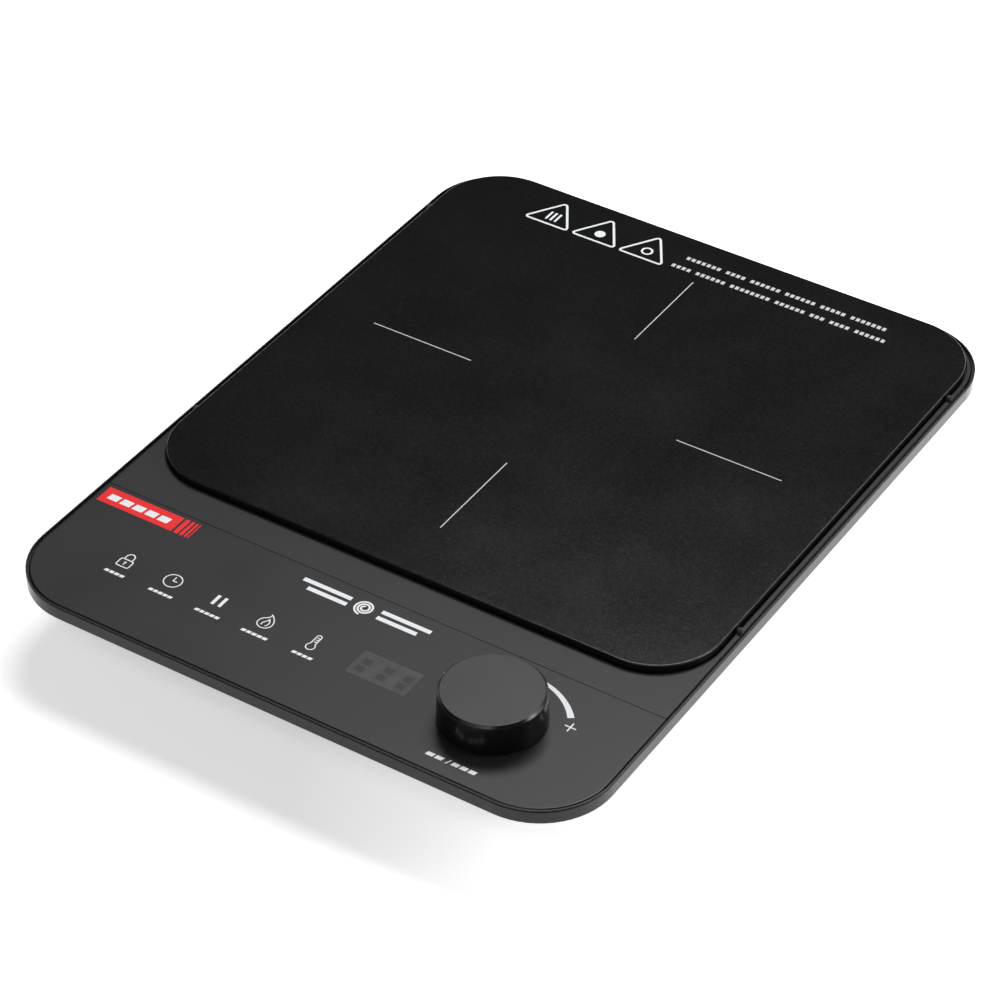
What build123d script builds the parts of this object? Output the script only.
from build123d import *
from math import cos, radians, sin, sqrt
import os

# Slim portable induction hob: a glass cooking plate, five touch keys, a small display and a
# push-and-turn knob. Millimetres, +Z up. The origin is on the surface that the feet stand on,
# under the middle of the outline. The controls are at -Y and the mains lead enters at +Y.

# Outline
WIDTH = 280.0
DEPTH = 368.2
CORNER = 33.6

# Heights above the surface that the feet stand on
FLOOR_Z = 4.0
FLOOR_TOP = 6.2
SKIRT_Z = 33.0
FLANGE_Z = 33.2
FLANGE_TOP = 35.2
PLATE_Z = 36.3
RECESS_Z = 38.3
MOAT_Z = 38.4
GLASS_Z = 39.3
DECK_Z = 39.6
RIM_Z = 40.0
GLASS_TOP = 43.3
KNOB_Z = 40.7
KNOB_TOP = 55.0

# Upper housing: a thin lip, a moat inside it, then the raised deck and the overlay beside it
SKIRT_WALL = 2.2
LIP = 0.7
LIP_FILLET = 0.25
DECK_INSET = 1.45
DECK_FILLET = 0.8
GROOVE_Z = 39.1
GROOVE_HEIGHT = 0.55
GROOVE_DEPTH = 0.35
SEAM_Y = -106.9
SEAM_GAP = 0.25

# Glass plate and its seal
GLASS = 270.8
GLASS_CORNER = 30.4
GLASS_Y = 45.4
GLASS_GAP = 0.6
GLASS_EDGE = 0.6
GLASS_LEAD = 0.25
GLASS_OPENING = 236.0
GLASS_OPENING_CORNER = 24.0
STOP_X = 137.0
STOP_YS = (-45.9, 139.2)
STOP_R = 1.4
STOP_HEIGHT = 2.2
STOP_PEG_R = 0.6
STOP_PEG = 2.0

# Lower housing
BELLY_INSET = 12.0
BELLY_SLOPE = 20.0 / 29.2
BELLY_CORNER = 28.0
BELLY_CORNER_SLOPE = 6.0 / 29.2
BELLY_WALL = 2.6
FLANGE_INSET = 2.6
SCREW_INSET = 7.5
FOOT_X = 86.0
FOOT_Y = 128.0
VENT_WIDTH = 3.2
VENT_PITCH = 8.0
VENT_Z = (12.0, 27.0)

# Controls
KEY_XS = [-100.0 + 23.75 * i for i in range(5)]
KEY_Y = -144.7
DISPLAY_AT = (29.3, -144.6)
DISPLAY_WINDOW = (28.8, 15.2)
DISPLAY_BODY = (27.0, 14.0)
KNOB_AT = (80.4, -143.9)
KNOB_R = 22.5
KNOB_DRAFT = 0.4
KNOB_SHOULDER = 1.0
KNOB_WALL = 2.6
SHAFT_R = 3.0
BUSH_R = 3.5
BUSH_TOP = 42.4
ENCODER_HALF = 6.0
ENCODER_TOP = 35.4
CHAMBER_Z = 32.0
COLLAR_Z = 34.3
DOME_TOP = 33.25
CONTROL_Z = 29.4
CONTROL_TOP = 31.0

# Induction coil
COIL_Y = 45.0
COIL_WIRE_R = 1.4
COIL_R = 29.0
COIL_PITCH = 3.05
COIL_TURNS = 20
COIL_Z = 33.1
FORMER_R = 95.0
FORMER_Z = 30.0
FORMER_TOP = 31.6
FERRITE = (54.0, 14.0, 4.8)
EAR_R = 101.0
LEAD_BEND = 4.0

# Fan
FAN_AT = (-52.0, 45.0)
FAN_Z = 8.2
FAN_TOP = 23.2
FAN_R = 43.0
FAN_BORE_R = 41.0
ROTOR_R = 39.6
HUB_R = 14.0
BLADES = 7
LUG_R = 48.5

# Main board
BOARD_Z = 12.0
BOARD_TOP = 13.6
BOARD_X = 98.0
BOARD_YS = (-146.0, -58.0)
HEAT_SINK_X = (18.0, 88.0)
HEAT_SINK_Y = (-112.0, -72.0)
HEAT_SINK_Z = 18.8
HEAT_SINK_BASE = 3.0
HEAT_SINK_TOP = 28.2
SWITCH_AT = (36.0, -92.0)
BRIDGE_AT = (68.0, -92.0)
CHOKE_AT = (-62.0, -78.0)
FUSE_AT = (-84.0, -106.0)
RESONANT_AT = (-26.0, -76.0)
FILTER_AT = (-26.0, -98.0)
MAINS_AT = (-84.0, -84.0)
TRANSFORMER_AT = (-62.0, -112.0)
CAN_SPOTS = ((-40.0, -118.0), (-27.0, -118.0), (-14.0, -118.0))
TERMINALS_AT = (-80.0, -66.0)
BUZZER_AT = (-2.0, -136.0)
HEADER_AT = (-46.0, -136.0)

# Gland of the mains lead, in the rear wall
GLAND_X = 62.0
GLAND_CENTRE_Z = 18.0
GLAND_FACE_Y = 166.0
GLAND_INNER_Y = 152.0
GLAND_R = 7.0
CORD_HOLE_R = 3.7


def rounded(width, depth, radius, z0, z1, at=(0.0, 0.0)):
    """Plate with rounded corners between two heights."""
    return Pos(at[0], at[1], z0) * extrude(RectangleRounded(width, depth, radius), z1 - z0)


def outline(inset, z0, z1):
    """The hob's outline, drawn in by an inset, as a plate between two heights."""
    return rounded(WIDTH - 2 * inset, DEPTH - 2 * inset, CORNER - inset, z0, z1)


def disc(radius, z0, z1, at=(0.0, 0.0)):
    """Upright cylinder between two heights."""
    return Pos(at[0], at[1], z0) * extrude(Circle(radius), z1 - z0)


def tube(outer, inner, z0, z1, at=(0.0, 0.0)):
    """Upright tube between two heights."""
    return disc(outer, z0, z1, at) - disc(inner, z0, z1, at)


def block(x0, x1, y0, y1, z0, z1):
    """Box between two opposite corners."""
    return Pos((x0 + x1) / 2, (y0 + y1) / 2, (z0 + z1) / 2) * Box(x1 - x0, y1 - y0, z1 - z0)


def crate(size, at, z0, edge=0.6):
    """Component body with softened upright and top edges, standing at a height."""
    body = Pos(at[0], at[1], z0 + size[2] / 2) * Box(*size)
    return fillet(body.edges().filter_by(Axis.Z) + body.edges().group_by(Axis.Z)[-1], edge)


def rod_y(radius, y0, y1, x, z):
    """Cylinder along Y."""
    return Pos(x, (y0 + y1) / 2, z) * Rot(90, 0, 0) * Cylinder(radius, y1 - y0)


def screw(at, head_z, tip_z, head_r, shank_r, head_height):
    """Pan-head screw. The head is on the far side of head_z from the tip, with a cross recess."""
    up = 1 if head_z > tip_z else -1
    low, high = sorted((head_z, head_z + up * head_height))
    head = disc(head_r, low, high, at)
    face = head.edges().group_by(Axis.Z)[-1 if up > 0 else 0]
    head = fillet(face, head_height * 0.4)
    top = head_z + up * head_height
    cut_low, cut_high = sorted((top, top - up * head_height * 0.6))
    for half_x, half_y in ((head_r * 0.6, 0.35), (0.35, head_r * 0.6)):
        head -= block(at[0] - half_x, at[0] + half_x, at[1] - half_y, at[1] + half_y, cut_low, cut_high)
    low, high = sorted((head_z, tip_z))
    return head + disc(shank_r, low, high, at)


def housing_screw_spots():
    """Eight screws round the flange that hold the two housings together."""
    side_x = WIDTH / 2 - SCREW_INSET
    end_y = DEPTH / 2 - SCREW_INSET
    sides = [(sign * side_x, y) for sign in (-1, 1) for y in (-110.0, 110.0)]
    ends = [(x, sign * end_y) for sign in (-1, 1) for x in (-70.0, 70.0)]
    return sides + ends


def coil_ear_spots():
    """Four corners of the coil former, where screws hold it on posts."""
    reach = EAR_R * cos(radians(45))
    return [(sx * reach, COIL_Y + sy * reach) for sx in (-1, 1) for sy in (-1, 1)]


def fan_lug_spots():
    """Four lugs of the fan frame."""
    reach = LUG_R * cos(radians(45))
    return [(FAN_AT[0] + sx * reach, FAN_AT[1] + sy * reach) for sx in (-1, 1) for sy in (-1, 1)]


def main_board_spots():
    """Four screws of the main board."""
    return [(sx * (BOARD_X - 7), y) for sx in (-1, 1) for y in (BOARD_YS[0] + 7, BOARD_YS[1] - 7)]


def control_board_spots():
    """Four screws that hold the control board up under the top plate."""
    return [(x, KEY_Y + dy) for x in (-107.0, 56.0) for dy in (-12.0, 12.0)]


def stop_spots():
    """Two small stops on each side, between the glass and the edge of the deck."""
    return [(sign * STOP_X, y) for sign in (-1, 1) for y in STOP_YS]


def make_upper_housing():
    """Moulded top cover: skirt, thin rim, moat, raised deck and the seats of glass and overlay."""
    body = outline(0, SKIRT_Z, RIM_Z)
    body = fillet(body.edges().group_by(Axis.Z)[-1], LIP_FILLET)
    body = chamfer(body.edges().group_by(Axis.Z)[0], 0.5)
    body -= outline(LIP, MOAT_Z, RIM_Z)
    body -= outline(SKIRT_WALL, SKIRT_Z, PLATE_Z)
    groove_top = GROOVE_Z + GROOVE_HEIGHT
    body -= outline(-1, GROOVE_Z, groove_top) - outline(GROOVE_DEPTH, GROOVE_Z, groove_top)

    seam_y = SEAM_Y + SEAM_GAP / 2
    deck = outline(DECK_INSET, MOAT_Z - 0.5, DECK_Z)
    deck = fillet(deck.edges().group_by(Axis.Z)[-1], DECK_FILLET)
    body += deck & block(-WIDTH, WIDTH, seam_y, DEPTH, 0, RIM_Z)
    seat = GLASS + 2 * GLASS_GAP
    seat_corner = GLASS_CORNER + GLASS_GAP
    body -= rounded(seat, seat, seat_corner, RECESS_Z, RIM_Z, (0, GLASS_Y))
    lead = []
    for grow in (0.0, 2 * GLASS_LEAD):
        mouth = RectangleRounded(seat + 2 * grow, seat + 2 * grow, seat_corner + grow)
        lead.append(Pos(0, GLASS_Y, DECK_Z - GLASS_LEAD + grow) * mouth)
    body -= loft(lead, ruled=True)
    body -= rounded(GLASS_OPENING, GLASS_OPENING, GLASS_OPENING_CORNER, PLATE_Z, RIM_Z, (0, GLASS_Y))

    for spot in housing_screw_spots():
        body += disc(3.6, FLANGE_TOP, PLATE_Z + 0.5, spot)
        body -= disc(1.45, FLANGE_TOP, PLATE_Z + 1.2, spot)
    for spot in control_board_spots():
        body += disc(3.0, CONTROL_TOP, PLATE_Z + 0.5, spot)
        body -= disc(1.1, CONTROL_TOP, PLATE_Z - 0.6, spot)
    for x in KEY_XS:
        body -= disc(5.5, PLATE_Z, MOAT_Z, (x, KEY_Y))
    window = (DISPLAY_BODY[0] + 0.6, DISPLAY_BODY[1] + 0.6)
    body -= rounded(*window, 0.8, PLATE_Z, MOAT_Z, DISPLAY_AT)
    body -= disc(BUSH_R + 0.15, PLATE_Z, MOAT_Z, KNOB_AT)
    for spot in stop_spots():
        body -= disc(STOP_PEG_R, DECK_Z - STOP_PEG, DECK_Z, spot)
    return body


def make_glass_stops():
    """Domed rubber stops that keep the glass centred."""
    stops = []
    for spot in stop_spots():
        head = disc(STOP_R, DECK_Z, DECK_Z + STOP_HEIGHT, spot)
        head = fillet(head.edges().group_by(Axis.Z)[-1], 0.9)
        stops.append(head + disc(STOP_PEG_R, DECK_Z - STOP_PEG, DECK_Z, spot))
    return stops


def make_glass_plate():
    """Tempered glass cooking plate with ground edges."""
    glass = rounded(GLASS, GLASS, GLASS_CORNER, GLASS_Z, GLASS_TOP, (0, GLASS_Y))
    glass = fillet(glass.edges().group_by(Axis.Z)[-1], GLASS_EDGE)
    return chamfer(glass.edges().group_by(Axis.Z)[0], 0.4)


def make_glass_seal():
    """Flat silicone seal between the glass and the seat in the upper housing."""
    outer = GLASS - 4.0
    inner = GLASS_OPENING + 8.0
    seal = rounded(outer, outer, GLASS_CORNER - 2.0, RECESS_Z, GLASS_Z, (0, GLASS_Y))
    return seal - rounded(inner, inner, GLASS_OPENING_CORNER, RECESS_Z, GLASS_Z, (0, GLASS_Y))


def make_control_overlay():
    """Front panel on the upper housing, with a display window and the hole for the encoder."""
    panel = outline(DECK_INSET, MOAT_Z, DECK_Z)
    panel = fillet(panel.edges().group_by(Axis.Z)[-1], DECK_FILLET)
    panel &= block(-WIDTH, WIDTH, -DEPTH, SEAM_Y - SEAM_GAP / 2, 0, RIM_Z)
    panel -= rounded(*DISPLAY_WINDOW, 0.8, MOAT_Z, DECK_Z, DISPLAY_AT)
    return panel - disc(BUSH_R + 0.15, MOAT_Z, DECK_Z, KNOB_AT)


def make_display_window():
    """Smoked window, flush with the overlay."""
    size = (DISPLAY_WINDOW[0] - 0.1, DISPLAY_WINDOW[1] - 0.1)
    return rounded(*size, 0.75, MOAT_Z, DECK_Z, DISPLAY_AT)


def belly(wall, z0, z1):
    """Tapered body under the flange, drawn in by a wall, between two heights."""
    sections = []
    for z in (z0, z1):
        inset = BELLY_INSET + (FLANGE_Z - z) * BELLY_SLOPE + wall
        radius = BELLY_CORNER - (FLANGE_Z - z) * BELLY_CORNER_SLOPE - wall
        sections.append(Pos(0, 0, z) * RectangleRounded(WIDTH - 2 * inset, DEPTH - 2 * inset, radius))
    return loft(sections, ruled=True)


def side_vents():
    """Upright slots that go out through the sloping rear, left and right walls."""
    slots = []
    for i in range(14):
        x = -76.0 + i * VENT_PITCH
        slots.append(block(x - VENT_WIDTH / 2, x + VENT_WIDTH / 2, 140, 180, *VENT_Z))
    for i in range(16):
        y = -38.0 + i * VENT_PITCH
        slots.append(block(100, 136, y - VENT_WIDTH / 2, y + VENT_WIDTH / 2, *VENT_Z))
        slots.append(block(-136, -100, y - VENT_WIDTH / 2, y + VENT_WIDTH / 2, *VENT_Z))
    return slots


def fan_grille():
    """Slots in the floor under the fan, in rows inside a circle, each side of a middle rib."""
    slots = []
    reach = 37.0
    for row in range(-6, 7):
        dy = row * 5.6
        half = sqrt(reach ** 2 - dy ** 2)
        length = half - 2.0
        for side in (-1, 1):
            centre = (FAN_AT[0] + side * (2.0 + length / 2), FAN_AT[1] + dy)
            slot = extrude(SlotOverall(length, 3.2), FLOOR_TOP - FLOOR_Z + 2)
            slots.append(Pos(centre[0], centre[1], FLOOR_Z - 1) * slot)
    return slots


def make_lower_housing():
    """Moulded bottom tray: flange, sloping walls with vents, floor with grille, posts and bosses."""
    body = belly(0, FLOOR_Z, FLANGE_Z + 1.0)
    body = fillet(body.edges().group_by(Axis.Z)[0], 2.0)
    body += outline(FLANGE_INSET, FLANGE_Z, FLANGE_TOP)
    body -= belly(BELLY_WALL, FLOOR_TOP, FLANGE_TOP + 1.0)

    body += rod_y(11.0, GLAND_INNER_Y, GLAND_FACE_Y, GLAND_X, GLAND_CENTRE_Z)
    body -= rod_y(12.0, GLAND_FACE_Y, DEPTH / 2, GLAND_X, GLAND_CENTRE_Z)
    body -= rod_y(GLAND_R, GLAND_INNER_Y - 1, DEPTH / 2, GLAND_X, GLAND_CENTRE_Z)

    body -= side_vents()
    body -= fan_grille()
    for spot in housing_screw_spots():
        body -= disc(1.7, FLANGE_Z, FLANGE_TOP, spot)
    posts = [(spot, 4.5, FORMER_Z, 1.3) for spot in coil_ear_spots()]
    posts += [(spot, 3.6, FAN_Z, 1.25) for spot in fan_lug_spots()]
    posts += [(spot, 3.6, BOARD_Z, 1.25) for spot in main_board_spots()]
    for spot, radius, top, pilot in posts:
        body += disc(radius, FLOOR_TOP - 0.5, top, spot)
        body -= disc(pilot, FLOOR_TOP - 0.8, top, spot)
    for spot in foot_spots():
        body -= disc(3.0, FLOOR_Z, FLOOR_TOP, spot)
    return body


def foot_spots():
    """Four corners of the floor."""
    return [(sx * FOOT_X, sy * FOOT_Y) for sx in (-1, 1) for sy in (-1, 1)]


def make_rubber_feet():
    """Push-in rubber feet: a round pad, a neck through the floor and a barb above it."""
    feet = []
    for spot in foot_spots():
        pad = disc(9.0, 0, FLOOR_Z, spot)
        pad = fillet(pad.edges().group_by(Axis.Z)[0], 1.2)
        neck = disc(3.0, FLOOR_Z, FLOOR_TOP, spot)
        barb = disc(4.0, FLOOR_TOP, FLOOR_TOP + 2.0, spot)
        barb = chamfer(barb.edges().group_by(Axis.Z)[-1], 1.2)
        feet.append(pad + neck + barb)
    return feet


def make_cord_gland():
    """Bushing in the rear wall that the mains lead passes through, with a lip on both sides."""
    lip = rod_y(9.5, GLAND_FACE_Y, GLAND_FACE_Y + 2.5, GLAND_X, GLAND_CENTRE_Z)
    lip = fillet(lip.edges().group_by(Axis.Y)[-1], 0.8)
    neck = rod_y(GLAND_R, GLAND_INNER_Y, GLAND_FACE_Y, GLAND_X, GLAND_CENTRE_Z)
    inner = rod_y(8.5, GLAND_INNER_Y - 2.0, GLAND_INNER_Y, GLAND_X, GLAND_CENTRE_Z)
    hole = rod_y(CORD_HOLE_R, GLAND_INNER_Y - 3.0, GLAND_FACE_Y + 4.0, GLAND_X, GLAND_CENTRE_Z)
    return lip + neck + inner - hole


def make_housing_screws():
    """Self-tapping screws from below, through the flange into the bosses of the upper housing."""
    return [screw(spot, FLANGE_Z, PLATE_Z + 1.0, 2.7, 1.45, 1.5) for spot in housing_screw_spots()]


def make_coil_former():
    """Plastic wheel that carries the winding: disc with windows, hub wall, outer wall and ears."""
    centre = (0, COIL_Y)
    body = disc(FORMER_R, FORMER_Z, FORMER_TOP, centre)
    windows = tube(84.0, 33.0, FORMER_Z, FORMER_TOP, centre)
    for i in range(8):
        spoke = Pos(58.0, 0, FORMER_Z + 1) * Box(60.0, 16.0, 4.0)
        windows -= Pos(0, COIL_Y, 0) * Rot(0, 0, 22.5 + 45 * i) * spoke
    body -= windows
    body += tube(26.5, 24.5, FORMER_Z, COIL_Z + 1.9, centre)
    body += tube(FORMER_R, 93.0, FORMER_Z, COIL_Z + 1.9, centre)
    for i in range(4):
        arm = block(FORMER_R - 1, EAR_R, -5.5, 5.5, FORMER_Z, FORMER_TOP)
        body += Pos(0, COIL_Y, 0) * Rot(0, 0, 45 + 90 * i) * arm
    for spot in coil_ear_spots():
        body += disc(5.5, FORMER_Z, FORMER_TOP, spot)
        body -= disc(1.7, FORMER_Z, FORMER_TOP, spot)
    body -= disc(8.5, FORMER_Z, FORMER_TOP, centre)
    wire_in_y = COIL_Y - COIL_R
    body -= block(-1.5, LEAD_BEND + 2.0, COIL_Y - 34.0, wire_in_y + 1.8, FORMER_Z, FORMER_TOP)
    wall_y = COIL_Y - FORMER_R
    return body - block(-9, 9, wall_y - 1, wall_y + 12.5, FORMER_Z, COIL_Z + 3)


def coil_path():
    """One wire: up from its terminal, under the coil to the middle, round the spiral and down.

    The spiral is half circles, each a quarter of the pitch off centre, so they meet tangent."""
    bend = LEAD_BEND
    y_in = COIL_Y - COIL_R
    y_out = COIL_Y - COIL_R - COIL_TURNS * COIL_PITCH
    low = COIL_Z - 2 * bend
    drop_y = BOARD_YS[1] - 4.0
    terminal_z = BOARD_TOP + 4.0
    lead_in = [
        Line((bend, drop_y, terminal_z), (bend, drop_y, low - bend)),
        TangentArc((bend, drop_y, low - bend), (bend, drop_y + bend, low), tangent=(0, 0, 1)),
        Line((bend, drop_y + bend, low), (bend, y_in - bend, low)),
        TangentArc((bend, y_in - bend, low), (bend, y_in, low + bend), tangent=(0, 1, 0)),
        TangentArc((bend, y_in, low + bend), (0, y_in, COIL_Z), tangent=(0, 0, 1)),
    ]
    spiral = []
    for k in range(2 * COIL_TURNS):
        radius = COIL_R + (2 * k + 1) * COIL_PITCH / 4
        sign = 1 if k % 2 == 0 else -1
        centre = (0, COIL_Y + sign * COIL_PITCH / 4)
        start = (0, centre[1] - sign * radius, COIL_Z)
        middle = (-sign * radius, centre[1], COIL_Z)
        end = (0, centre[1] + sign * radius, COIL_Z)
        spiral.append(ThreePointArc(start, middle, end))
    run_z = terminal_z + bend
    lead_out = [
        TangentArc((0, y_out, COIL_Z), (-bend, y_out, COIL_Z - bend), tangent=(-1, 0, 0)),
        Line((-bend, y_out, COIL_Z - bend), (-bend, y_out, run_z + bend)),
        TangentArc((-bend, y_out, run_z + bend), (-bend, y_out - bend, run_z), tangent=(0, 0, -1)),
        Line((-bend, y_out - bend, run_z), (-bend, drop_y + bend, run_z)),
        TangentArc((-bend, drop_y + bend, run_z), (-bend, drop_y, terminal_z), tangent=(0, -1, 0)),
    ]
    return lead_in + spiral + lead_out


def make_coil_winding():
    """Flat spiral of litz wire with both of its leads."""
    path = Wire(coil_path())
    start = Plane(origin=path @ 0, z_dir=path % 0)
    return sweep(start * Circle(COIL_WIRE_R), path=path)


def make_coil_ferrites():
    """Eight ferrite bars under the spokes of the former."""
    length, width, height = FERRITE
    bars = []
    for i in range(8):
        bar = Pos(58.0, 0, FORMER_Z - height / 2) * Box(length, width, height)
        bars.append(Pos(0, COIL_Y, 0) * Rot(0, 0, 22.5 + 45 * i) * bar)
    return bars


def make_mica_sheet():
    """Insulating disc between the coil and the glass."""
    return tube(FORMER_R, 12.0, COIL_Z + 1.9, COIL_Z + 2.4, (0, COIL_Y))


def make_coil_screws():
    """Screws through the ears of the former into the posts."""
    return [screw(spot, FORMER_TOP, FORMER_Z - 6.0, 2.8, 1.3, 1.6) for spot in coil_ear_spots()]


def make_sensor_holder():
    """Silicone plug in the middle of the coil that presses the sensor on the glass."""
    centre = (0, COIL_Y)
    body = disc(8.5, FORMER_Z - 1.4, FORMER_TOP, centre)
    body += disc(12.0, FORMER_TOP, FORMER_TOP + 2.0, centre)
    body += disc(6.0, FORMER_TOP + 2.0, GLASS_Z - 2.0, centre)
    return body - disc(1.5, FORMER_Z - 1.4, GLASS_Z - 2.0, centre)


def make_plate_sensor():
    """Temperature sensor, a flat thermistor that touches the underside of the glass."""
    body = disc(3.2, GLASS_Z - 2.0, GLASS_Z, (0, COIL_Y))
    return fillet(body.edges().group_by(Axis.Z)[0], 0.5)


def make_main_board():
    """Power board on posts in front of the coil."""
    depth = BOARD_YS[1] - BOARD_YS[0]
    board = rounded(2 * BOARD_X, depth, 3.0, BOARD_Z, BOARD_TOP, (0, sum(BOARD_YS) / 2))
    for spot in main_board_spots():
        board -= disc(1.6, BOARD_Z, BOARD_TOP, spot)
    return board


def make_board_screws():
    """Screws of the main board."""
    return [screw(spot, BOARD_TOP, BOARD_Z - 5.0, 2.7, 1.25, 1.5) for spot in main_board_spots()]


def make_coil_terminals():
    """Two studs on the main board that the coil's leads end on."""
    y = BOARD_YS[1] - 4.0
    return [disc(3.0, BOARD_TOP, BOARD_TOP + 4.0, (sign * LEAD_BEND, y)) for sign in (-1, 1)]


def make_heat_sink():
    """Extruded aluminium heat sink: flat base with a row of fins."""
    base_top = HEAT_SINK_Z + HEAT_SINK_BASE
    body = block(*HEAT_SINK_X, *HEAT_SINK_Y, HEAT_SINK_Z, base_top)
    for i in range(10):
        y = HEAT_SINK_Y[0] + 0.8 + i * (HEAT_SINK_Y[1] - HEAT_SINK_Y[0] - 1.6) / 9
        body += block(*HEAT_SINK_X, y - 0.7, y + 0.7, base_top - 0.5, HEAT_SINK_TOP)
    for at in (SWITCH_AT, BRIDGE_AT):
        body -= disc(2.9, base_top, HEAT_SINK_TOP + 1, at)
        body -= disc(1.5, HEAT_SINK_Z, base_top, at)
    return body


def flat_package(at, width, depth):
    """Flat power package lying on the board with its tab up against the heat sink."""
    body = block(at[0] - width / 2, at[0] + width / 2, at[1] - depth / 2, at[1] + depth / 2,
                 HEAT_SINK_Z - 5.0, HEAT_SINK_Z)
    body = chamfer(body.edges().group_by(Axis.Z)[0], 0.5)
    for dx in (-5.4, 0.0, 5.4):
        leg = block(at[0] + dx - 0.6, at[0] + dx + 0.6, at[1] - depth / 2 - 2.0, at[1] - depth / 2 + 0.2,
                    BOARD_TOP, HEAT_SINK_Z - 1.8)
        body += leg
    return body - disc(1.5, HEAT_SINK_Z - 5.0, HEAT_SINK_Z, at)


def make_power_switch():
    """Switching transistor that drives the coil."""
    return flat_package(SWITCH_AT, 16.0, 20.0)


def make_bridge_rectifier():
    """Bridge rectifier."""
    return flat_package(BRIDGE_AT, 20.0, 16.0)


def make_package_screws():
    """Screws that clamp both packages to the heat sink."""
    base_top = HEAT_SINK_Z + HEAT_SINK_BASE
    return [screw(at, base_top, HEAT_SINK_Z - 4.6, 2.7, 1.5, 1.6) for at in (SWITCH_AT, BRIDGE_AT)]


def make_resonant_capacitor():
    """Film capacitor of the coil's resonant circuit."""
    return crate((32.0, 18.0, 14.0), RESONANT_AT, BOARD_TOP)


def make_filter_capacitor():
    """Film capacitor after the rectifier."""
    return crate((30.0, 13.0, 13.5), FILTER_AT, BOARD_TOP)


def make_mains_capacitor():
    """Interference suppression capacitor across the mains."""
    return crate((18.0, 9.0, 12.5), MAINS_AT, BOARD_TOP)


def make_choke_core():
    """Iron powder ring of the mains choke."""
    ring = tube(11.0, 6.4, BOARD_TOP + 1.6, BOARD_TOP + 11.0, CHOKE_AT)
    return fillet(ring.edges().filter_by(GeomType.CIRCLE), 0.8)


def make_choke_winding():
    """Turns of wire round the choke core, as separate loops, with two gaps between its halves."""
    loops = []
    z0, z1 = BOARD_TOP + 0.2, BOARD_TOP + 12.4
    for i in range(14):
        if i in (3, 10):
            continue
        loop = block(4.9, 12.4, -0.7, 0.7, z0, z1) - block(6.35, 11.05, -0.8, 0.8, z0 + 1.35, z1 - 1.35)
        loop = fillet(loop.edges().filter_by(Axis.Y), 0.5)
        loops.append(Pos(*CHOKE_AT, 0) * Rot(0, 0, i * 360 / 14) * loop)
    return loops


def make_supply_transformer():
    """Small transformer of the low-voltage supply, with two slots across its top."""
    x, y = TRANSFORMER_AT
    body = crate((19.0, 15.0, 13.0), TRANSFORMER_AT, BOARD_TOP)
    for slot_x in (x - 4.5, x + 4.5):
        body -= block(slot_x - 1.2, slot_x + 1.2, y - 8, y + 8, BOARD_TOP + 10, BOARD_TOP + 14)
    return body


def make_electrolytic_capacitors():
    """Three round capacitors of the low-voltage supply."""
    cans = []
    for at in CAN_SPOTS:
        can = disc(5.0, BOARD_TOP, BOARD_TOP + 12.5, at)
        can = fillet(can.edges().group_by(Axis.Z)[-1], 0.8)
        cans.append(can - tube(5.2, 4.6, BOARD_TOP + 1.6, BOARD_TOP + 2.3, at))
    return cans


def make_fuse():
    """Glass tube fuse with metal end caps."""
    x, y = FUSE_AT
    z = BOARD_TOP + 4.2
    return rod_y(2.3, y - 9, y + 9, x, z) + rod_y(2.6, y - 10, y - 5, x, z) + rod_y(2.6, y + 5, y + 10, x, z)


def make_fuse_clips():
    """Two spring clips that hold the fuse by its caps."""
    x, y = FUSE_AT
    z = BOARD_TOP + 4.2
    clips = []
    for side in (-1, 1):
        y0, y1 = sorted((y + side * 6, y + side * 9))
        clip = block(x - 3.2, x + 3.2, y0, y1, BOARD_TOP, z + 1.6)
        clip -= rod_y(2.6, y0 - 1, y1 + 1, x, z)
        clips.append(clip - block(x - 2.0, x + 2.0, y0 - 1, y1 + 1, z, z + 3))
    return clips


def make_mains_terminals():
    """Terminal block where the mains lead is connected."""
    x, y = TERMINALS_AT
    body = crate((16.0, 10.0, 9.0), TERMINALS_AT, BOARD_TOP)
    for hole_x in (x - 4.0, x + 4.0):
        body -= disc(1.8, BOARD_TOP + 5.0, BOARD_TOP + 10, (hole_x, y))
        body -= rod_y(1.7, y + 4.0, y + 8.0, hole_x, BOARD_TOP + 3.0)
    return body


def make_buzzer():
    """Round sounder."""
    top = BOARD_TOP + 8.0
    body = disc(6.0, BOARD_TOP, top, BUZZER_AT) - disc(1.0, BOARD_TOP + 5.0, top, BUZZER_AT)
    return fillet(body.edges().group_by(Axis.Z)[-1].sort_by(SortBy.LENGTH)[-1], 0.6)


def make_board_header():
    """Pin header that joins the control board to the main board."""
    x, y = HEADER_AT
    body = block(x - 12, x + 12, y - 2.5, y + 2.5, BOARD_TOP, CONTROL_Z)
    for i in range(8):
        slot_x = x - 8.9 + i * 2.54
        body -= block(slot_x - 0.6, slot_x + 0.6, y - 3, y - 1.5, BOARD_TOP + 3, CONTROL_Z - 3)
    return body


def make_control_board():
    """Board of the touch keys, the display and the encoder."""
    board = rounded(210.0, 32.0, 2.0, CONTROL_Z, CONTROL_TOP, (-7.0, KEY_Y))
    for spot in control_board_spots():
        board -= disc(1.5, CONTROL_Z, CONTROL_TOP, spot)
    return board


def make_control_board_screws():
    """Screws of the control board, from below."""
    return [screw(spot, CONTROL_Z, PLATE_Z - 0.8, 2.4, 1.1, 1.3) for spot in control_board_spots()]


def make_touch_pads():
    """Conductive foam pillars between the control board and the overlay, one for each key."""
    return [disc(4.5, CONTROL_TOP, MOAT_Z, (x, KEY_Y)) for x in KEY_XS]


def make_display_module():
    """Three-digit display module."""
    size = (*DISPLAY_BODY, MOAT_Z - 0.3 - CONTROL_TOP)
    return crate(size, DISPLAY_AT, CONTROL_TOP, 0.3)


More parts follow.
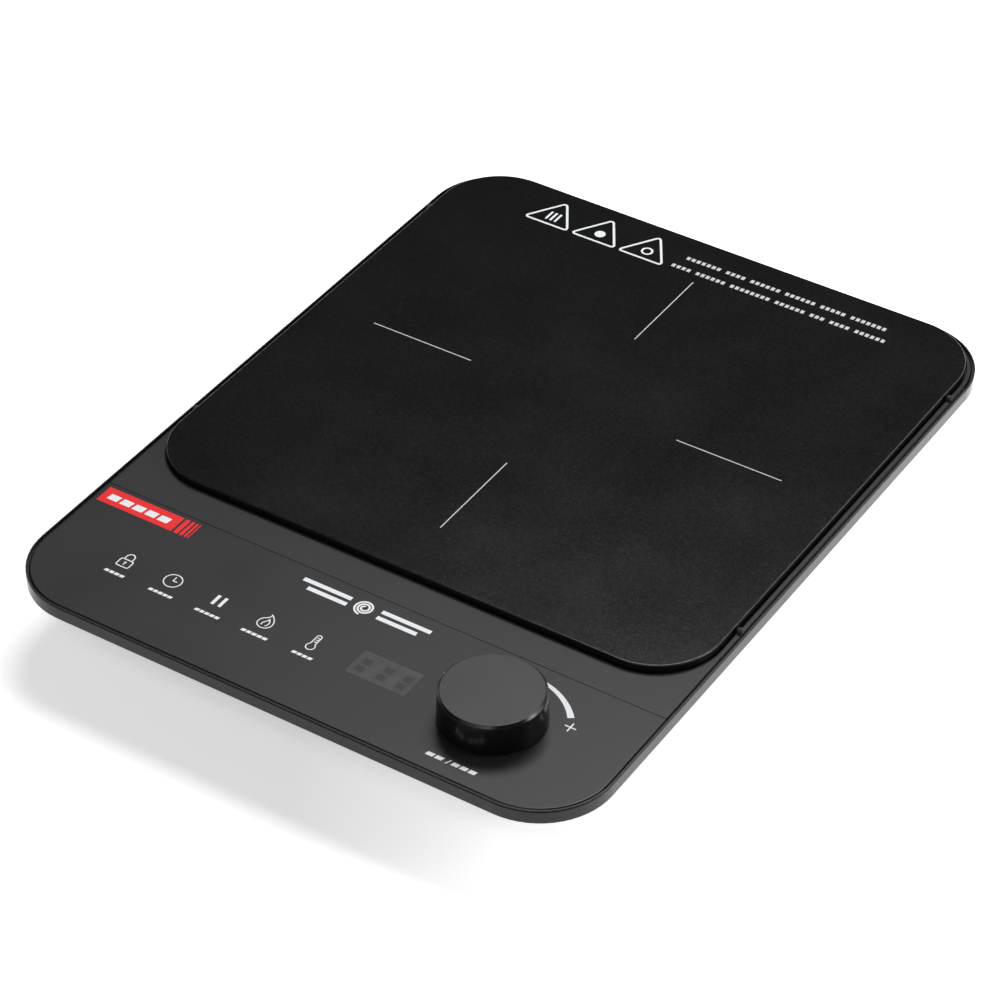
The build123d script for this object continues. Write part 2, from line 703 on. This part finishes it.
def make_encoder_body():
    """Plastic body of the rotary encoder, with a round chamber for its moving parts."""
    x, y = KNOB_AT
    body = block(x - ENCODER_HALF, x + ENCODER_HALF, y - ENCODER_HALF, y + ENCODER_HALF,
                 CONTROL_TOP, ENCODER_TOP)
    return body - disc(4.9, CHAMBER_Z, ENCODER_TOP, KNOB_AT)


def make_encoder_bush():
    """Metal cover and threaded bush of the encoder, which guide its shaft."""
    x, y = KNOB_AT
    cover = block(x - ENCODER_HALF, x + ENCODER_HALF, y - ENCODER_HALF, y + ENCODER_HALF,
                  ENCODER_TOP, PLATE_Z)
    bush = disc(BUSH_R, PLATE_Z - 0.2, BUSH_TOP, KNOB_AT)
    return cover + bush - disc(SHAFT_R + 0.05, ENCODER_TOP, BUSH_TOP, KNOB_AT)


def make_encoder_nut():
    """Hexagon nut that clamps the encoder to the front panel."""
    nut = Pos(*KNOB_AT, DECK_Z) * extrude(RegularPolygon(5.7, 6), 2.0)
    return nut - disc(BUSH_R, DECK_Z, DECK_Z + 2.0, KNOB_AT)


def make_encoder_dome():
    """Thin snap dome that returns the knob and makes the push switch click."""
    rise = DOME_TOP - CHAMBER_Z
    reach = 3.2
    radius = (reach ** 2 + rise ** 2) / (2 * rise)
    shell = Sphere(radius) - Sphere(radius - 0.15)
    dome = Pos(*KNOB_AT, DOME_TOP - radius) * shell
    return dome & disc(reach + 1, CHAMBER_Z, DOME_TOP + 1, KNOB_AT)


def make_encoder_plunger():
    """Slider between the dome and the encoder shaft. It moves down and doesn't turn."""
    body = disc(4.5, DOME_TOP + 0.05, COLLAR_Z - 0.1, KNOB_AT)
    return chamfer(body.edges().group_by(Axis.Z)[-1], 0.2)


def make_encoder_shaft():
    """Encoder shaft with a collar inside the body and a flat where the knob sits."""
    shaft = disc(SHAFT_R, COLLAR_Z, KNOB_TOP - 3.0, KNOB_AT)
    shaft += disc(4.3, COLLAR_Z, COLLAR_Z + 0.8, KNOB_AT)
    return shaft - shaft_flat(KNOB_TOP - 3.0)


def shaft_flat(top):
    """The part that the flat takes away from the shaft, up to a height."""
    x, y = KNOB_AT
    return block(x - 4, x + 4, y + 1.5, y + 4, BUSH_TOP + 1.2, top)


def make_control_knob():
    """Push-and-turn knob: tapered shell with a flat top, a core with the shaft's bore, and ribs."""
    side_r = KNOB_R - KNOB_DRAFT
    top_r = side_r - KNOB_SHOULDER
    shoulder_z = KNOB_TOP - KNOB_SHOULDER
    axis_low, axis_high = (0, KNOB_Z), (0, KNOB_TOP)
    side = [(KNOB_R, KNOB_Z), (side_r, shoulder_z), (top_r, KNOB_TOP)]
    profile = Polyline(axis_low, *side, axis_high, axis_low)
    shell = revolve(Plane.XZ * make_face(profile), Axis.Z)
    shell = fillet(shell.edges().group_by(Axis.Z)[-1], 0.3)
    shell = fillet(shell.edges().group_by(Axis.Z)[0], 0.3)
    shell -= disc(KNOB_R - KNOB_WALL, KNOB_Z, KNOB_TOP - 2.2)
    core_z = BUSH_TOP + 1.2
    shell += disc(5.4, core_z, KNOB_TOP - 1.5)
    for i in range(6):
        rib = block(4.5, 20.5, -0.6, 0.6, core_z + 2.0, KNOB_TOP - 1.5)
        shell += Rot(0, 0, 30 + 60 * i) * rib
    bore = disc(SHAFT_R, core_z - 1, KNOB_TOP - 3.0, KNOB_AT) - shaft_flat(KNOB_TOP - 3.0)
    return Pos(*KNOB_AT, 0) * shell - bore


def make_fan_frame():
    """Fan frame: ring, four struts below the blades, motor base with the bearing's seat, lugs."""
    frame = tube(FAN_R, FAN_BORE_R, FAN_Z, FAN_TOP, FAN_AT)
    for spot in fan_lug_spots():
        frame += disc(6.2, FAN_Z, FAN_Z + 3.0, spot) - disc(FAN_BORE_R + 0.5, FAN_Z, FAN_TOP, FAN_AT)
    for angle in (45, 135):
        strut = Box(2 * FAN_BORE_R + 1.0, 3.0, 2.0)
        frame += Pos(*FAN_AT, FAN_Z + 1.0) * Rot(0, 0, angle) * strut
    frame += disc(HUB_R, FAN_Z, FAN_Z + 2.0, FAN_AT)
    frame += tube(5.0, 4.0, FAN_Z + 1.5, FAN_Z + 10.8, FAN_AT)
    for spot in fan_lug_spots():
        frame -= disc(1.6, FAN_Z, FAN_Z + 3.0, spot)
    return frame


def make_fan_bearing():
    """Sleeve bearing of the fan."""
    return tube(4.0, 1.55, FAN_Z + 2.0, FAN_Z + 10.8, FAN_AT)


def make_fan_stator():
    """Stator of the fan motor: four wound poles on a ring."""
    z0, z1 = FAN_Z + 4.0, FAN_Z + 10.0
    body = tube(6.6, 5.0, z0, z1, FAN_AT)
    for i in range(4):
        turn = Pos(*FAN_AT, 0) * Rot(0, 0, 90 * i)
        body += turn * block(6.0, 10.4, -2.0, 2.0, z0, z1)
        body += turn * block(9.2, 10.6, -4.4, 4.4, z0, z1)
    return body


def make_fan_rotor():
    """Impeller: hub cup with pitched blades."""
    z0, z1 = FAN_Z + 3.2, FAN_TOP - 0.6
    middle = (z0 + z1) / 2
    hub = disc(HUB_R, z0, z1)
    hub = fillet(hub.edges().group_by(Axis.Z)[-1], 1.5)
    ring = tube(ROTOR_R, HUB_R - 1.0, z0 + 0.6, z1 - 0.6)
    body = hub
    for i in range(BLADES):
        blade = Pos((HUB_R + ROTOR_R) / 2, 0, middle) * Rot(38, 0, 0) * Box(ROTOR_R - HUB_R + 6.0, 17.0, 1.3)
        body += Rot(0, 0, i * 360 / BLADES) * (blade & ring)
    body -= disc(HUB_R - 1.5, z0, z1 - 1.6)
    body -= disc(1.5, z0, z1 - 0.8)
    return Pos(*FAN_AT, 0) * body


def make_fan_magnet():
    """Ring magnet inside the rotor's hub."""
    return tube(HUB_R - 1.5, HUB_R - 2.5, FAN_Z + 3.6, FAN_Z + 10.6, FAN_AT)


def make_fan_shaft():
    """Steel shaft pressed in the rotor's hub."""
    return disc(1.5, FAN_Z + 2.2, FAN_TOP - 1.4, FAN_AT)


def make_fan_screws():
    """Screws through the lugs of the fan frame into the floor's bosses."""
    return [screw(spot, FAN_Z + 3.0, FLOOR_TOP - 0.6, 2.7, 1.25, 1.5) for spot in fan_lug_spots()]


PARTS = {
    "upper_housing": make_upper_housing,
    "lower_housing": make_lower_housing,
    "glass_plate": make_glass_plate,
    "glass_seal": make_glass_seal,
    "glass_stops": make_glass_stops,
    "control_overlay": make_control_overlay,
    "display_window": make_display_window,
    "rubber_feet": make_rubber_feet,
    "cord_gland": make_cord_gland,
    "housing_screws": make_housing_screws,
    "coil_former": make_coil_former,
    "coil_winding": make_coil_winding,
    "coil_ferrites": make_coil_ferrites,
    "coil_screws": make_coil_screws,
    "coil_terminals": make_coil_terminals,
    "mica_sheet": make_mica_sheet,
    "sensor_holder": make_sensor_holder,
    "plate_sensor": make_plate_sensor,
    "main_board": make_main_board,
    "board_screws": make_board_screws,
    "board_header": make_board_header,
    "heat_sink": make_heat_sink,
    "power_switch": make_power_switch,
    "bridge_rectifier": make_bridge_rectifier,
    "package_screws": make_package_screws,
    "resonant_capacitor": make_resonant_capacitor,
    "filter_capacitor": make_filter_capacitor,
    "mains_capacitor": make_mains_capacitor,
    "electrolytic_capacitors": make_electrolytic_capacitors,
    "choke_core": make_choke_core,
    "choke_winding": make_choke_winding,
    "supply_transformer": make_supply_transformer,
    "fuse": make_fuse,
    "fuse_clips": make_fuse_clips,
    "mains_terminals": make_mains_terminals,
    "buzzer": make_buzzer,
    "control_board": make_control_board,
    "control_board_screws": make_control_board_screws,
    "touch_pads": make_touch_pads,
    "display_module": make_display_module,
    "encoder_body": make_encoder_body,
    "encoder_bush": make_encoder_bush,
    "encoder_nut": make_encoder_nut,
    "encoder_dome": make_encoder_dome,
    "encoder_plunger": make_encoder_plunger,
    "encoder_shaft": make_encoder_shaft,
    "control_knob": make_control_knob,
    "fan_frame": make_fan_frame,
    "fan_bearing": make_fan_bearing,
    "fan_stator": make_fan_stator,
    "fan_rotor": make_fan_rotor,
    "fan_magnet": make_fan_magnet,
    "fan_shaft": make_fan_shaft,
    "fan_screws": make_fan_screws,
}

os.makedirs("parts", exist_ok=True)
for name, make in PARTS.items():
    made = make()
    shape = Compound(children=made) if isinstance(made, list) else made
    export_step(shape, f"parts/{name}.step")
    print(name, len(shape.solids()))
